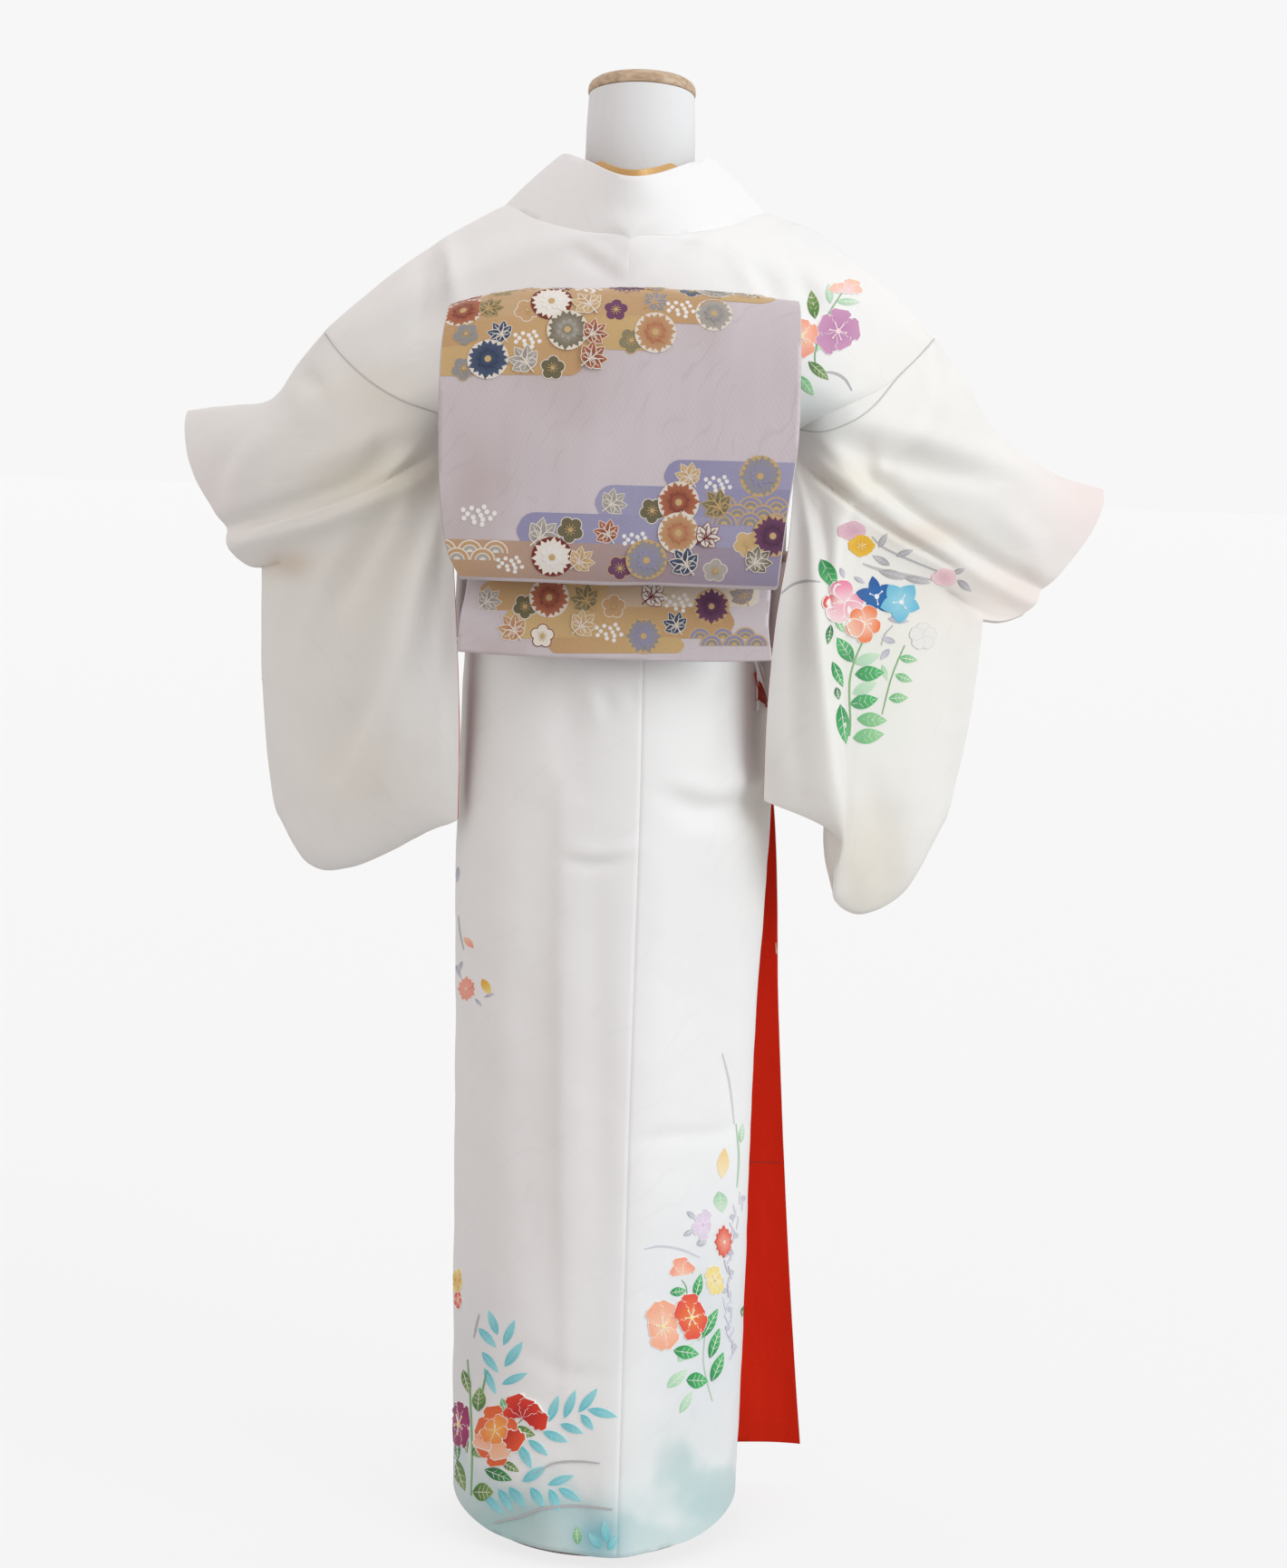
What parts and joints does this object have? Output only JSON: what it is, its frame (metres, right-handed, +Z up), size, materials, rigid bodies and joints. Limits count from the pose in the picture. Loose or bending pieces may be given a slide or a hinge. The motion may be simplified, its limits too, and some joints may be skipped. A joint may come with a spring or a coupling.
{
  "type": "homongi kimono on a dress form",
  "caption": "Long silk visiting kimono with wide open sleeves, crossed front and an obi tied in a drum knot, worn by a limbless dress form on a round-based stand.",
  "frame": {"origin": "middle of the flat underside of the stand's round base", "axes": "+Z up; the garment's back and drum knot face -Y, its crossed front faces +Y, the wearer's left is -X"},
  "size_m": [0.9159, 0.4456, 1.3583],
  "materials": {
    "silk": "soft white damask silk",
    "gold_silk": "satin gold trim",
    "obi_brocade": "stiff silver brocade with woven colours",
    "braid": "braided silk",
    "scarf_silk": "soft crepe",
    "pad_cloth": "matte cotton",
    "form_cloth": "matte stretched cover",
    "wood": "satin pale wood",
    "stand_metal": "satin pale grey"
  },
  "bodies": {
    "root": {"body_left": "silk", "body_right": "silk", "collar": "silk", "gold_collar_strip": "gold_silk", "skirt_back_left": "silk", "skirt_back_right": "silk", "skirt_inner_front_right": "silk", "skirt_outer_front_left": "silk", "sleeve_left": "silk", "sleeve_right": "silk", "waist_tuck": "silk", "obi_band": "obi_brocade", "obi_drum": "obi_brocade", "obi_tail": "obi_brocade", "obi_hand_end": "obi_brocade", "obi_pillow": "pad_cloth", "obi_scarf": "scarf_silk", "obi_cord": "braid", "obi_cord_knot": "braid", "form_torso": "form_cloth", "form_neck_cap": "wood", "stand_pole": "stand_metal", "stand_base": "stand_metal"}
  },
  "joints": []
}
